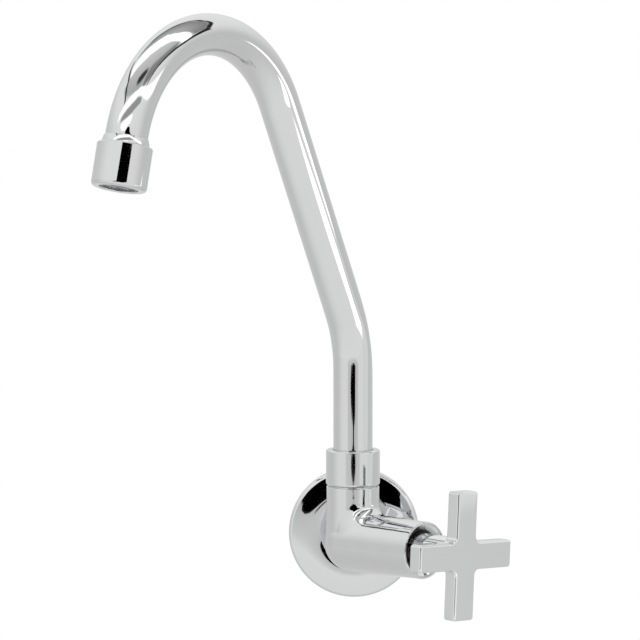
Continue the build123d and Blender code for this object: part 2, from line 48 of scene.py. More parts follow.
mm = 0.001
tiny = 1e-6  # keeps a divisor off zero
sharpAngle = 32  # an edge that bends by more degrees than this stays sharp
joints = {joint["name"]: joint for joint in frame["joints"]}


def placeAt(origin, axis, side):
    # A place is an origin and three square directions, the first of them the piece's own axis. side gives
    # up its share along axis, side - (axis . side) * axis, and rise = axis x side.
    axis = np.array(axis, float) / np.linalg.norm(axis)
    side = np.array(side, float) - np.dot(side, axis) * axis
    side = side / np.linalg.norm(side)
    return {"origin": np.array(origin, float), "axis": axis, "side": side, "rise": np.cross(axis, side)}


def inPlace(place, across, up, along):
    # point = origin + across * side + up * rise + along * axis, for whole arrays of millimetres
    local = np.stack(np.broadcast_arrays(across, up, along), -1) * mm
    return place["origin"] + local @ np.stack([place["side"], place["rise"], place["axis"]])


neckFoot = np.array(joints["handle_turn"]["pos_m"])
valveAxis = np.array(joints["handle_turn"]["axis"])
spoutSwing = math.radians(34.6)  # the spout at rest, from straight off the wall towards the user's left
spoutOut = np.array([-math.sin(spoutSwing), -math.cos(spoutSwing), 0.0])
wallPlace = placeAt([0, 0, 0], [0, -1, 0], [1, 0, 0])
neckPlace = placeAt(neckFoot, [0, 0, 1], valveAxis)
valvePlace = placeAt(neckFoot, valveAxis, [0, 0, 1])
spoutPlace = placeAt(neckFoot, [0, 0, 1], spoutOut)


def roundedLine(corners, steps=8):
    # A line through (radius, height) corners. A third number r rounds the corner: where half its angle is
    # h, the arc touches both sides at r / tan(h) from the corner, and its centre is r / sin(h) along the
    # bisector.
    line = []
    for i, corner in enumerate(corners):
        here = np.array(corner[:2], float)
        if len(corner) == 2:
            line.append(here[None])
            continue
        toLast = np.array(corners[i - 1][:2]) - here
        toNext = np.array(corners[(i + 1) % len(corners)][:2]) - here
        toLast = toLast / np.linalg.norm(toLast)
        toNext = toNext / np.linalg.norm(toNext)
        half = math.acos(np.clip(toLast @ toNext, -1, 1)) / 2
        bisector = (toLast + toNext) / np.linalg.norm(toLast + toNext)
        centre = here + bisector * corner[2] / math.sin(half)
        first = here + toLast * corner[2] / math.tan(half) - centre
        last = here + toNext * corner[2] / math.tan(half) - centre
        sweep = math.pi - 2 * half
        share = np.linspace(0, 1, steps + 1)[:, None]
        arc = np.sin((1 - share) * sweep) * first + np.sin(share * sweep) * last
        line.append(centre + arc / math.sin(sweep))
    return np.concatenate(line)


def gridQuads(index):
    # the four corners of every cell of a grid of point numbers
    return np.stack([index[:-1, :-1], index[:-1, 1:], index[1:, 1:], index[1:, :-1]], -1).reshape(-1, 4)


def shell(grid, looped=False):
    # The points and faces of a grid whose columns run round a closed ring. Its first and last rows join
    # when looped is true, and otherwise each closes on its own middle. The faces turn outwards when their
    # signed volume, the sum of a . (b x c) / 6, comes out positive.
    rows, columns = grid.shape[:2]
    index = np.arange(rows * columns).reshape(rows, columns)
    index = np.concatenate([index, index[:, :1]], 1)
    if looped:
        index = np.concatenate([index, index[:1]])
    quads = gridQuads(index)
    points = grid.reshape(-1, 3)
    triangles = np.zeros((0, 3), int)
    if not looped:
        points = np.concatenate([points, grid[0].mean(0)[None], grid[-1].mean(0)[None]])
        start = np.stack([index[0, 1:], index[0, :-1], np.full(columns, rows * columns)], -1)
        end = np.stack([index[-1, :-1], index[-1, 1:], np.full(columns, rows * columns + 1)], -1)
        triangles = np.concatenate([start, end])
    everything = np.concatenate([triangles, quads[:, :3], quads[:, [0, 2, 3]]])
    a, b, c = (points[everything[:, i]] for i in range(3))
    if np.sum(a * np.cross(b, c)) < 0:
        quads, triangles = quads[:, ::-1], triangles[:, ::-1]
    return points, quads.tolist() + triangles.tolist()


def turnedShell(place, line, around=128):
    # A closed line turned round an axis:
    # point(i, a) = origin + height(i) * axis + radius(i) * (cos a * side + sin a * rise)
    turn = np.linspace(0, 2 * np.pi, around, endpoint=False)
    radius, height = line[:, :1], line[:, 1:]
    return shell(inPlace(place, radius * np.cos(turn), radius * np.sin(turn), height), looped=True)


def newObject(name, points, faces):
    mesh = bpy.data.meshes.new(name)
    mesh.from_pydata(points, [], faces)
    thing = bpy.data.objects.new(name, mesh)
    bpy.context.scene.collection.objects.link(thing)
    return thing


def newPiece(name, shells, body, material, nodes):
    # one object of one or more shells, shaded smooth up to sharpAngle, that rides on a body and stands for
    # CAD nodes
    points, faces = [], []
    for shellPoints, shellFaces in shells:
        offset = sum(len(part) for part in points)
        points.append(shellPoints)
        faces += [[corner + offset for corner in face] for face in shellFaces]
    piece = newObject(name, np.concatenate(points), faces)
    mesh = piece.data
    mesh.polygons.foreach_set("use_smooth", np.ones(len(mesh.polygons), bool))
    mesh.set_sharp_from_angle(angle=math.radians(sharpAngle))
    mesh.update()
    weighted = piece.modifiers.new("weightedNormals", "WEIGHTED_NORMAL")
    weighted.keep_sharp = True
    mesh.materials.append(material)
    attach(piece, body)
    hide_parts(*nodes)
    print("made", name, "with", len(faces), "faces")


class Signal:
    # a node's output: + - * / with a number or another output add Math nodes
    def __init__(self, graph, socket):
        self.graph = graph
        self.socket = socket

    def maths(self, operation, *values):
        return self.graph.add("ShaderNodeMath", {"operation": operation}, dict(enumerate(values)))

    def __add__(self, other):
        return self.maths("ADD", self, other)

    def __sub__(self, other):
        return self.maths("SUBTRACT", self, other)

    def __rsub__(self, other):
        return self.maths("SUBTRACT", other, self)

    def __mul__(self, other):
        return self.maths("MULTIPLY", self, other)

    def __truediv__(self, other):
        return self.maths("DIVIDE", self, other)

    def __rtruediv__(self, other):
        return self.maths("DIVIDE", other, self)

    __radd__ = __add__
    __rmul__ = __mul__


class Graph:
    # the node tree of one material or world
    def __init__(self, owner):
        owner.use_nodes = True
        self.tree = owner.node_tree
        self.tree.nodes.clear()

    def add(self, kind, settings=None, sockets=None, output=0):
        # The node's own settings are set first. sockets holds values or links, and those and output go by
        # name or number.
        node = self.tree.nodes.new(kind)
        for name, value in (settings or {}).items():
            setattr(node, name, value)
        for name, value in (sockets or {}).items():
            if isinstance(value, Signal):
                self.tree.links.new(value.socket, node.inputs[name])
            else:
                node.inputs[name].default_value = value
        return Signal(self, node.outputs[output]) if len(node.outputs) else None

    def place(self):
        return self.add("ShaderNodeTexCoord", output="Object")

    def part(self, vector, axis):
        return self.add("ShaderNodeSeparateXYZ", {}, {"Vector": vector}, axis)

    def vector(self, operation, *values, output="Vector"):
        return self.add("ShaderNodeVectorMath", {"operation": operation}, dict(enumerate(values)), output)

    def ray(self, kind):
        return self.add("ShaderNodeLightPath", output=f"Is {kind} Ray")

    def smooth(self, value, start, end):
        # 0 up to start and 1 from end, with x * x * (3 - 2 * x) of the share of the way between them
        sockets = {"Value": value, "From Min": start, "From Max": end}
        return self.add("ShaderNodeMapRange", {"interpolation_type": "SMOOTHSTEP"}, sockets)

    def noise(self, scale, detail=2.0, roughness=0.5):
        # scale is in waves a millimetre
        sockets = {"Vector": self.place(), "Scale": scale / mm, "Detail": detail, "Roughness": roughness}
        return self.add("ShaderNodeTexNoise", {}, sockets)

    def blend(self, share, first, second):
        # inputs 0, 6 and 7 and output 2 of a Mix node are its factor, its two colours and their mixture
        sockets = {0: share, 6: (*first, 1), 7: (*second, 1)}
        return self.add("ShaderNodeMix", {"data_type": "RGBA"}, sockets, 2)

    def bump(self, height, lift):
        # lift is the height in millimetres that a height of 1 stands for
        return self.add("ShaderNodeBump", {}, {"Height": height, "Distance": lift * mm, "Strength": 1.0})

    def emission(self, brightness):
        # a brightness that varies goes through the colour, and its strength stays 1
        colour = brightness if isinstance(brightness, Signal) else (brightness, brightness, brightness, 1)
        return self.add("ShaderNodeEmission", {}, {"Color": colour, "Strength": 1.0})


def emptyMaterial(name):
    material = bpy.data.materials.new(name)
    return material, Graph(material)


def newMaterial(name, baseColour, roughness, metallic, normal=None):
    # each of the four is a value or a function that makes it in the graph
    material, graph = emptyMaterial(name)
    given = {"Base Color": baseColour, "Roughness": roughness, "Metallic": metallic, "Normal": normal}
    sockets = {}
    for socket, value in given.items():
        if value is not None:
            sockets[socket] = value(graph) if callable(value) else value
    surface = graph.add("ShaderNodeBsdfPrincipled", {}, sockets)
    graph.add("ShaderNodeOutputMaterial", {}, {"Surface": surface})
    return material


chrome = {
    "tint": (0.672, 0.675, 0.678), "deepTint": (0.645, 0.65, 0.655), "tintWaves": 0.02, "roughness": 0.025,
    "smudge": 0.035, "smudgeWaves": 0.05, "fineWaves": 1.5, "fineFrom": 0.7, "fineRange": 0.6,
    "slowRoughness": 0.45,
}


def chromeMaterial(name, waves, lift, paintedLight=1.0):
    # Polished chrome plate: its tint is a faintly uneven tone times a factor that, above 1, is painted
    # light making a brighter copy of the chrome, its roughness, as of wiped-dry water, is roughness +
    # smudge * cloud * cloud * (fineFrom + fineRange * fine), and it has a slow swell, so many waves a
    # millimetre and lift high.
    def tint(graph):
        tones = ([paintedLight * part for part in chrome[tone]] for tone in ("tint", "deepTint"))
        return graph.blend(graph.noise(chrome["tintWaves"], detail=3), *tones)

    def haze(graph):
        cloud = graph.noise(chrome["smudgeWaves"], detail=4, roughness=0.6)
        fine = graph.noise(chrome["fineWaves"])
        streaks = chrome["fineFrom"] + chrome["fineRange"] * fine
        return chrome["roughness"] + chrome["smudge"] * (cloud * cloud) * streaks

    def swell(graph):
        return graph.bump(graph.noise(waves, roughness=chrome["slowRoughness"]), lift)

    return newMaterial(name, tint, haze, 1.0, swell)


castChrome = chromeMaterial("castChrome", waves=0.11, lift=0.05)
pressedChrome = chromeMaterial("pressedChrome", waves=0.03, lift=0.03)
turnedChrome = chromeMaterial("turnedChrome", waves=0.05, lift=0.004)
bentChrome = chromeMaterial("bentChrome", waves=0.03, lift=0.02)
# the handle's chrome is painted 8 % brighter, painted light standing in for the brighter reflections it
# shows
handleChromePaintedLight = chromeMaterial("handleChromePaintedLight", waves=0.06, lift=0.02, paintedLight=1.08)
print("chrome materials made")

# The cast elbow body. Here along is from the neck's axis towards the valve's mouth, and up is up the neck.
castBody = {
    "neckRadius": 12.8, "neckRoot": 13.5, "neckStraight": 16.0, "shoulder": 26.1, "shoulderRound": 0.35,
    "elbowRadius": 14.6, "elbowDrop": 1.2, "elbowShift": 1.1, "mouthRadius": 13.65, "mouthDrop": 0.15,
    "mouth": 49.5, "lipRound": 0.45, "bore": 12.85, "coneReach": 1.2, "creaseInner": 4.6,
    "creaseOuter": 11.0, "creaseSide": 9.5, "creaseStart": 1.0, "creaseRun": 3.0, "creaseLeast": 0.05,
    "threadRadius": 11.4, "rim": 37.5, "swivelBore": 9.2, "boreFloor": 14.0, "hexShoulder": 40.0,
    "threadBore": 10.48, "threadFloor": 27.0, "chamber": 9.8, "seat": 10.0, "pivot": 22.0, "around": 144,
    "neckRows": 4, "bendRows": 121, "mouthRows": 23, "lipRows": 8, "walks": 60, "walkFrom": 5.0,
}


def filletUnion(first, second, cosine, radius):
    # Two skins joined by a ball of the given radius rolled along their crease. With a = radius - first,
    # b = radius - second and the cosine between their normals, the ball's centre is
    # sqrt(a * a + b * b - 2 * a * b * cosine) / sine away.
    a, b = radius - first, radius - second
    sine = np.sqrt(np.maximum(1 - cosine**2, tiny))
    away = np.sqrt(np.maximum(a * a + b * b - 2 * a * b * cosine, 0)) / sine
    touched = (a > b * cosine) & (b > a * cosine) & (a > 0) & (b > 0)
    return np.where(touched, radius - away, np.minimum(first, second))


def elbowDistance(along, across, up):
    # Distance to the elbow's skin. The ball's is |point - centre| - radius, and the housing's and the
    # neck's are the distance from their centre lines less a radius that changes evenly along them. The
    # smaller of the first two is joined to the neck's by a fillet that widens from creaseInner to
    # creaseOuter with (across / creaseSide) ** 2.
    b = castBody
    past = along - b["elbowShift"]
    fromBall = np.sqrt(past**2 + across**2 + (up + b["elbowDrop"]) ** 2) - b["elbowRadius"]
    share = np.clip(past / (b["mouth"] - b["elbowShift"]), 0, b["coneReach"])
    drop = b["elbowDrop"] + (b["mouthDrop"] - b["elbowDrop"]) * share
    radius = b["elbowRadius"] + (b["mouthRadius"] - b["elbowRadius"]) * share
    fromHousing = np.maximum(np.hypot(across, up + drop) - radius, -past)
    core = np.minimum(fromBall, fromHousing)
    rise = np.clip((up + b["elbowDrop"]) / (b["neckStraight"] + b["elbowDrop"]), 0, 1)
    neck = b["neckRoot"] + (b["neckRadius"] - b["neckRoot"]) * rise
    fromNeck = np.maximum(np.hypot(along, across) - neck, -b["elbowDrop"] - up)
    cosine = across**2 / np.maximum(np.hypot(along, across) * np.hypot(across, up + drop), tiny)
    spread = np.minimum(1, (across / b["creaseSide"]) ** 2)
    opened = np.clip((along - b["creaseStart"]) / b["creaseRun"], b["creaseLeast"], 1)
    crease = (b["creaseInner"] + (b["creaseOuter"] - b["creaseInner"]) * spread) * opened
    return filletUnion(core, fromNeck, cosine, crease)


def elbowGrid():
    # The elbow's skin: from the neck's rim down, round the bend and out to the mouth. Each row lies in a
    # plane through a pivot beyond the crotch, which turns from level to upright. In it, rays leave the core
    # line at angle a, in the direction cos a * outward + sin a * across, and walk by the distance left
    # until they reach the skin.
    b = castBody
    bend = np.radians(np.linspace(0, 90, b["bendRows"]))
    reach = b["pivot"] / np.maximum(np.cos(bend), np.sin(bend))
    straightUp = np.linspace(b["shoulder"] - b["shoulderRound"], b["pivot"], b["neckRows"], endpoint=False)
    straightOut = np.linspace(b["pivot"], b["mouth"] - b["lipRound"], b["mouthRows"] + 1)[1:]
    upOnes, outOnes = np.ones(b["neckRows"]), np.ones(b["mouthRows"])
    outwardAlong = np.concatenate([-upOnes, -np.cos(bend), 0 * outOnes])
    outwardUp = np.concatenate([0 * upOnes, -np.sin(bend), -outOnes])
    coreAlong = np.concatenate([0 * upOnes, b["pivot"] - reach * np.cos(bend), straightOut])[:, None]
    coreUp = np.concatenate([straightUp, b["pivot"] - reach * np.sin(bend), 0 * outOnes])[:, None]
    turn = np.linspace(0, 2 * np.pi, b["around"], endpoint=False)
    stepAlong, stepUp = np.outer(outwardAlong, np.cos(turn)), np.outer(outwardUp, np.cos(turn))
    stepAcross = np.outer(np.ones(len(coreUp)), np.sin(turn))
    length = np.full(stepAcross.shape, b["walkFrom"])

    def reached():
        return coreAlong + stepAlong * length, stepAcross * length, coreUp + stepUp * length

    for walk in range(b["walks"]):
        length -= elbowDistance(*reached())
    skin = np.stack(reached(), -1)

    def rings(line, mouthSide):
        # turned rings that carry the skin on inside, from rows of radius, distance along the neck's or the
        # mouth's axis and drop of the centre:
        # point(i, a) = (-radius * cos a - drop, radius * sin a, distance)
        radius, distance, drop = (line[:, i : i + 1] for i in range(3))
        first, across = -radius * np.cos(turn) - drop, radius * np.sin(turn)
        parts = (distance, across, first) if mouthSide else (first, across, distance)
        return np.stack(np.broadcast_arrays(*parts), -1)

    neckLine = roundedLine(
        [
            (b["swivelBore"], b["boreFloor"]), (b["swivelBore"], b["rim"]), (b["threadRadius"], b["rim"]),
            (b["threadRadius"], b["shoulder"]), (b["neckRadius"], b["shoulder"], b["shoulderRound"]),
            (b["neckRadius"], b["pivot"]),
        ]
    )[:-1]
    neckRings = rings(np.column_stack([neckLine, np.zeros(len(neckLine))]), False)
    quarter = np.linspace(0, np.pi / 2, b["lipRows"])
    lip = np.column_stack(
        [
            b["mouthRadius"] - b["lipRound"] * (1 - np.cos(quarter)),
            b["mouth"] - b["lipRound"] * (1 - np.sin(quarter)),
            np.full(b["lipRows"], b["mouthDrop"]),
        ]
    )[1:]
    inside = np.array(
        [
            (b["bore"], b["mouth"], 0), (b["bore"], b["hexShoulder"], 0),
            (b["threadBore"], b["hexShoulder"], 0), (b["threadBore"], b["threadFloor"], 0),
            (b["chamber"], b["threadFloor"], 0), (b["chamber"], b["seat"], 0),
        ]
    )
    local = np.concatenate([neckRings, skin, rings(lip, True), rings(inside, True)])
    return inPlace(neckPlace, local[..., 0], local[..., 1], local[..., 2])


shank = {
    "radius": 11.2, "inside": 24.0, "bore": 4.5, "boreFloor": 23.0, "boreEdge": 0.6,
    "threadRadius": 10.48, "threadDepth": 1.0, "threadTop": 1.0, "threadEnd": -14.0, "pitch": 1.814,
    "crestCut": 1.25, "chamfer": 1.2, "topFade": 0.4, "threadRows": 150,
}


def shankGrid(around=96):
    # The inlet shank, out of the elbow to the wall and on as a pipe thread. With
    # tooth(h, a) = 1 - |2 * frac(h / pitch - a / 2 pi) - 1|, the thread is
    # radius(h, a) = root + depth * min(1, crestCut * tooth), and its depth fades over topFade below its top
    # and over the chamfer at its end.
    s = shank
    turn = np.linspace(0, 2 * np.pi, around, endpoint=False)
    thread = np.linspace(s["threadTop"], s["threadEnd"], s["threadRows"])[:, None]
    tooth = 1 - np.abs(2 * np.mod(thread / s["pitch"] - turn / (2 * np.pi), 1) - 1)
    fadeDown = np.clip((thread - s["threadEnd"]) / s["chamfer"], 0, 1)
    fadeUp = np.clip((s["threadTop"] - thread) / s["topFade"], 0, 1)
    depth = s["threadDepth"] * np.clip(s["crestCut"] * tooth, 0, 1) * fadeDown * fadeUp
    before = np.array([(s["bore"], s["inside"]), (s["radius"], s["inside"]), (s["radius"], s["threadTop"])])
    after = np.array(
        [
            (s["bore"] + s["boreEdge"], s["threadEnd"]), (s["bore"], s["threadEnd"] + s["boreEdge"]),
            (s["bore"], s["boreFloor"]),
        ]
    )
    ring = np.ones(around)
    threadRadius = s["threadRadius"] - s["threadDepth"] + depth
    radius = np.concatenate([before[:, :1] * ring, threadRadius, after[:, :1] * ring])
    height = np.concatenate([before[:, 1:], thread, after[:, 1:]])
    return inPlace(wallPlace, radius * np.cos(turn), radius * np.sin(turn), height)


newPiece(
    "castElbowBody", [shell(elbowGrid()), shell(shankGrid())], "fixture", castChrome, ["valve_body"],
)

# The dished cover plate against the wall.
coverPlate = {
    "radius": 32.05, "rimRound": 2.2, "crest": 20.0, "crestDepth": 7.6, "crestRound": 44.0,
    "backRound": 34.0, "outerSlope": 11.5, "innerSlope": 10.0, "bore": 11.5, "pocket": 12.8,
    "collarDepth": 1.6, "wall": 1.0, "edge": 0.3, "around": 192, "roundSteps": 24,
}


def coverPlateLine():
    # Two slopes that meet at a crest rounded to crestRound. The line through the crest's corner has, at a
    # radius, the depth of the corner less |radius - corner| * tan(slope). Behind, the same slopes carry on
    # a wall's thickness deeper.
    c = coverPlate
    outer, inner, wall = math.radians(c["outerSlope"]), math.radians(c["innerSlope"]), c["wall"]
    tangent = c["crestRound"] * math.tan((outer + inner) / 2)
    corner = c["crest"] + c["crestRound"] * math.sin(outer) - tangent * math.cos(outer)
    top = c["crestDepth"] - c["crestRound"] * (1 - math.cos(outer)) + tangent * math.sin(outer)
    rim = top - (c["radius"] - corner) * math.tan(outer)
    hole = top - (corner - c["bore"]) * math.tan(inner)
    collar = c["pocket"] + wall
    behind = top - (corner - collar) * math.tan(inner)
    return roundedLine(
        [
            (c["radius"] - wall, 0, c["edge"]), (c["radius"], 0, c["edge"]),
            (c["radius"], rim, c["rimRound"]), (corner, top, c["crestRound"]), (c["bore"], hole, c["edge"]),
            (c["bore"], hole - wall), (c["pocket"], hole - wall),
            (c["pocket"], hole - wall - c["collarDepth"]), (collar, hole - wall - c["collarDepth"]),
            (collar, behind - wall), (corner, top - wall, c["backRound"]),
            (c["radius"] - wall, rim - wall, c["rimRound"] - wall),
        ],
        steps=c["roundSteps"],
    )


newPiece(
    "coverPlate", [turnedShell(wallPlace, coverPlateLine(), coverPlate["around"])], "fixture",
    pressedChrome, ["wall_flange"],
)

# The swivel nut under the spout.
swivelNut = {
    "radius": 13.1, "foot": 26.6, "top": 44.05, "footRound": 1.35, "topRound": 1.0, "thread": 11.43,
    "threadTop": 37.8, "bore": 10.9, "lipFoot": 41.9, "lipBore": 9.825, "edge": 0.25,
}


def swivelNutLine():
    # rounded outside, and inside a thread, a wider bore and the lip that holds the spout down
    n = swivelNut
    return roundedLine(
        [
            (n["thread"], n["foot"], n["edge"]), (n["radius"], n["foot"], n["footRound"]),
            (n["radius"], n["top"], n["topRound"]), (n["lipBore"], n["top"], n["edge"]),
            (n["lipBore"], n["lipFoot"]), (n["bore"], n["lipFoot"]), (n["bore"], n["threadTop"]),
            (n["thread"], n["threadTop"]),
        ]
    )


newPiece(
    "swivelNut", [turnedShell(neckPlace, swivelNutLine())], "fixture", turnedChrome, ["spout_nut"],
)

# The bent spout tube. Its points along the line are close together where it bends.
spoutTube = {
    "radius": 9.525, "wall": 1.0, "foot": 40.6, "lowerBend": 85.8, "lowerRadius": 50.0, "lowerAngle": 27.4,
    "rise": 115.4, "neckRadius": 60.2, "neckAngle": 138.4, "tipRun": 3.8, "socket": 6.4,
    "squeezeLength": 12.0, "outerFlat": 0.25, "innerSwell": 0.02, "sideSwell": 0.04, "footPoints": 10,
    "lowerPoints": 30, "risePoints": 24, "neckPoints": 150, "tipPoints": 4, "boreStride": 6,
}


def spoutLine(endRun):
    # The tube's centre line in the spout's plane, as (out, up) points with the direction's angle from
    # upright: straight up, an arc, a straight lean, the gooseneck's arc and a short straight tip. On an arc
    # of radius r the angle is t and the point moves by r * (cos t0 - cos t, sin t - sin t0).
    t = spoutTube
    lower, neck = math.radians(t["lowerAngle"]), math.radians(t["neckAngle"])
    here = np.array([0.0, t["foot"]])
    points, angles = [], []

    def straight(length, angle, count):
        nonlocal here
        share = np.linspace(0, length, count, endpoint=False)
        points.append(here + share[:, None] * [math.sin(angle), math.cos(angle)])
        angles.append(np.full(count, angle))
        here = here + length * np.array([math.sin(angle), math.cos(angle)])

    def arc(radius, start, sweep, count):
        nonlocal here
        turn = start + np.linspace(0, sweep, count, endpoint=False)
        moved = np.column_stack([np.cos(start) - np.cos(turn), np.sin(turn) - np.sin(start)])
        points.append(here + radius * moved)
        angles.append(turn)
        end = start + sweep
        here = here + radius * np.array([math.cos(start) - math.cos(end), math.sin(end) - math.sin(start)])

    straight(t["lowerBend"] - t["foot"], 0.0, t["footPoints"])
    arc(t["lowerRadius"], 0.0, lower, t["lowerPoints"])
    straight(t["rise"], lower, t["risePoints"])
    arc(t["neckRadius"], lower, neck, t["neckPoints"])
    straight(endRun, lower + neck, t["tipPoints"])
    points.append(here[None])
    angles.append(np.array([lower + neck]))
    return np.concatenate(points), np.concatenate(angles)


def spoutTubeGrid(around=112):
    # The wall of the tube: point(s, a) = line(s) + r * (cos a * normal(s) + sin a * sideways), first with
    # the outer radius along the line and then back with the bore's, at every boreStride-th point. Round the
    # lower bend the outer side is flatter and the others are fuller, by shares that fade with the distance
    # d from the bend's middle, as exp(-(d / squeezeLength) ** 2).
    t = spoutTube
    line, angle = spoutLine(t["tipRun"] + t["socket"])
    travelled = np.concatenate([[0], np.cumsum(np.linalg.norm(np.diff(line, axis=0), axis=1))])
    middle = t["lowerBend"] - t["foot"] + t["lowerRadius"] * math.radians(t["lowerAngle"]) / 2
    squeeze = np.exp(-(((travelled - middle) / t["squeezeLength"]) ** 2))
    back = np.arange(len(line))[:: -t["boreStride"]]
    radius = np.repeat([t["radius"], t["radius"] - t["wall"]], [len(line), len(back)])[:, None]
    line = np.concatenate([line, line[back]])
    angle = np.concatenate([angle, angle[back]])[:, None]
    squeeze = np.concatenate([squeeze, squeeze[back]])[:, None]
    turn = np.linspace(0, 2 * np.pi, around, endpoint=False)
    bulge = radius * np.cos(turn)
    bulge = bulge * (1 + squeeze * np.where(bulge > 0, t["innerSwell"], -t["outerFlat"]))
    out = line[:, :1] + bulge * np.cos(angle)
    up = line[:, 1:] - bulge * np.sin(angle)
    sideways = radius * np.sin(turn) * (1 + squeeze * t["sideSwell"])
    return inPlace(spoutPlace, out, sideways, up)


newPiece(
    "bentSpoutTube", [shell(spoutTubeGrid(), looped=True)], "spout", bentChrome, ["spout_tube"],
)

# The outlet: a ring brazed on the tube's end and the aerator's sleeve, both measured down from the sleeve's
# top face.
tipRing = {
    "top": -3.5, "topRadius": 10.0, "footRadius": 10.9, "length": 8.0, "socket": 9.555, "seat": 6.4,
    "bore": 8.525, "edge": 0.2,
}
aerator = {
    "radius": 12.45, "length": 19.5, "topRound": 0.7, "footRound": 1.6, "thread": 10.93, "threadEnd": 12.4,
    "cage": 9.63, "mouth": 8.7, "lip": 1.9, "mouthRound": 0.5, "edge": 0.2,
}


def outletPlace():
    # where the tube's line ends, with the axis along it: spoutOut * sin(fall) + up * cos(fall)
    line, angle = spoutLine(spoutTube["tipRun"])
    end, fall = line[-1], angle[-1]
    origin = inPlace(spoutPlace, end[0], 0, end[1])
    return placeAt(origin, spoutOut * math.sin(fall) + np.array([0, 0, math.cos(fall)]), [0, 0, 1])


def tipRingLine():
    # tapered outside, with the tube's socket and a bore inside
    r = tipRing
    return roundedLine(
        [
            (r["socket"], r["top"], r["edge"]), (r["topRadius"], r["top"], r["edge"]), (r["footRadius"], 0),
            (r["footRadius"], r["length"]), (r["bore"], r["length"]), (r["bore"], r["seat"]),
            (r["socket"], r["seat"]),
        ],
        steps=4,
    )


def aeratorLine():
    # rounded outside, and inside a thread, the cage's bore and the lip round the mouth
    a = aerator
    return roundedLine(
        [
            (a["thread"], 0, a["edge"]), (a["radius"], 0, a["topRound"]),
            (a["radius"], a["length"], a["footRound"]), (a["mouth"], a["length"], a["mouthRound"]),
            (a["mouth"], a["length"] - a["lip"]), (a["cage"], a["length"] - a["lip"]),
            (a["cage"], a["threadEnd"]), (a["thread"], a["threadEnd"]),
        ]
    )


tipPlace = outletPlace()
newPiece(
    "tipRing", [turnedShell(tipPlace, tipRingLine())], "spout", turnedChrome, ["tip_adapter"],
)
newPiece(
    "aeratorSleeve", [turnedShell(tipPlace, aeratorLine())], "spout", turnedChrome, ["aerator_housing"],
)

# The dished trim ring in the mouth of the housing.
# the near-black colour and the two radii after the dish rows give a painted shade in the groove round the
# hub
mouthRing = {
    "outer": 12.82, "front": 49.0, "edge": 0.5, "bore": 8.22, "dish": 3.3, "back": 44.4, "dishRows": 24,
    "shadeFullTo": 9.3, "shadeGoneFrom": 10.3, "paintedShadeColour": (0.05, 0.05, 0.05),
}


def mouthRingLine():
    # a flat edge and then a cone down to the hub: height = front - dish * share, where share is the way to
    # the bore
    m = mouthRing
    share = np.linspace(0, 1, m["dishRows"])
    brim = m["outer"] - m["edge"]
    cone = np.column_stack([brim + (m["bore"] - brim) * share, m["front"] - m["dish"] * share])
    behind = [(m["bore"], m["back"]), (m["outer"], m["back"]), (m["outer"], m["front"])]
    return np.concatenate([behind, cone])


def ringPaintedShade(graph):
    # painted shade: the base colour is near black in the groove round the hub, standing in for the shade
    # and dark reflections there, and plain chrome further out, by |(point - foot) x axis|, the distance
    # from the valve's axis
    arm = graph.vector("SUBTRACT", graph.place(), tuple(neckFoot))
    away = graph.vector("LENGTH", graph.vector("CROSS_PRODUCT", arm, tuple(valveAxis)), output="Value")
    share = graph.smooth(away, mouthRing["shadeFullTo"] * mm, mouthRing["shadeGoneFrom"] * mm)
    return graph.blend(share, mouthRing["paintedShadeColour"], chrome["tint"])


# chrome whose base colour carries a painted shade in the groove round the hub
ringChromePaintedShade = newMaterial("ringChromePaintedShade", ringPaintedShade, chrome["roughness"], 1.0)
newPiece(
    "mouthTrimRing", [turnedShell(valvePlace, mouthRingLine())], "fixture", ringChromePaintedShade, ["mouth_ring"],
)

# The cross handle.
crossHandle = {
    "front": 76.8, "span": 61.0, "width": 13.1, "depth": 7.15, "innerRound": 3.0, "endRound": 1.6,
    "edgeRound": 1.0, "hub": 8.15, "hubStart": 45.3, "hubBlend": 0.5, "hubRoot": 6.0, "hubEdge": 0.3,
    "recess": 7.0, "recessDepth": 2.6, "turn": -3.0, "spacing": 1.6, "faceShare": 0.6, "edgeSteps": 7,
    "hubSteps": 5,
}


def crossOutline():
    # The cross's outline, from twelve rounded corners with points about spacing apart between them, and its
    # outward normals, the middle tangent (x, y) turned to (y, -x).
    h = crossHandle
    half, end = h["width"] / 2, h["span"] / 2
    quarter = [(end, -half, h["endRound"]), (end, half, h["endRound"]), (half, half, h["innerRound"])]
    corners = []
    for step in range(4):
        c, s = round(math.cos(step * math.pi / 2)), round(math.sin(step * math.pi / 2))
        corners += [(x * c - y * s, x * s + y * c, r) for x, y, r in quarter]
    line = roundedLine(corners)
    following = np.roll(line, -1, 0)
    length = np.linalg.norm(following - line, axis=1)
    pieces = np.maximum(1, np.round(length / h["spacing"])).astype(int)
    sides = [
        start + (end - start) * np.linspace(0, 1, count, endpoint=False)[:, None]
        for start, end, count in zip(line, following, pieces)
    ]
    spread = np.concatenate(sides)
    ahead, behind = np.roll(spread, -1, 0) - spread, spread - np.roll(spread, 1, 0)
    tangent = sum(part / np.linalg.norm(part, axis=1)[:, None] for part in (ahead, behind))
    tangent /= np.linalg.norm(tangent, axis=1)[:, None]
    return spread, np.column_stack([tangent[:, 1], -tangent[:, 0]])


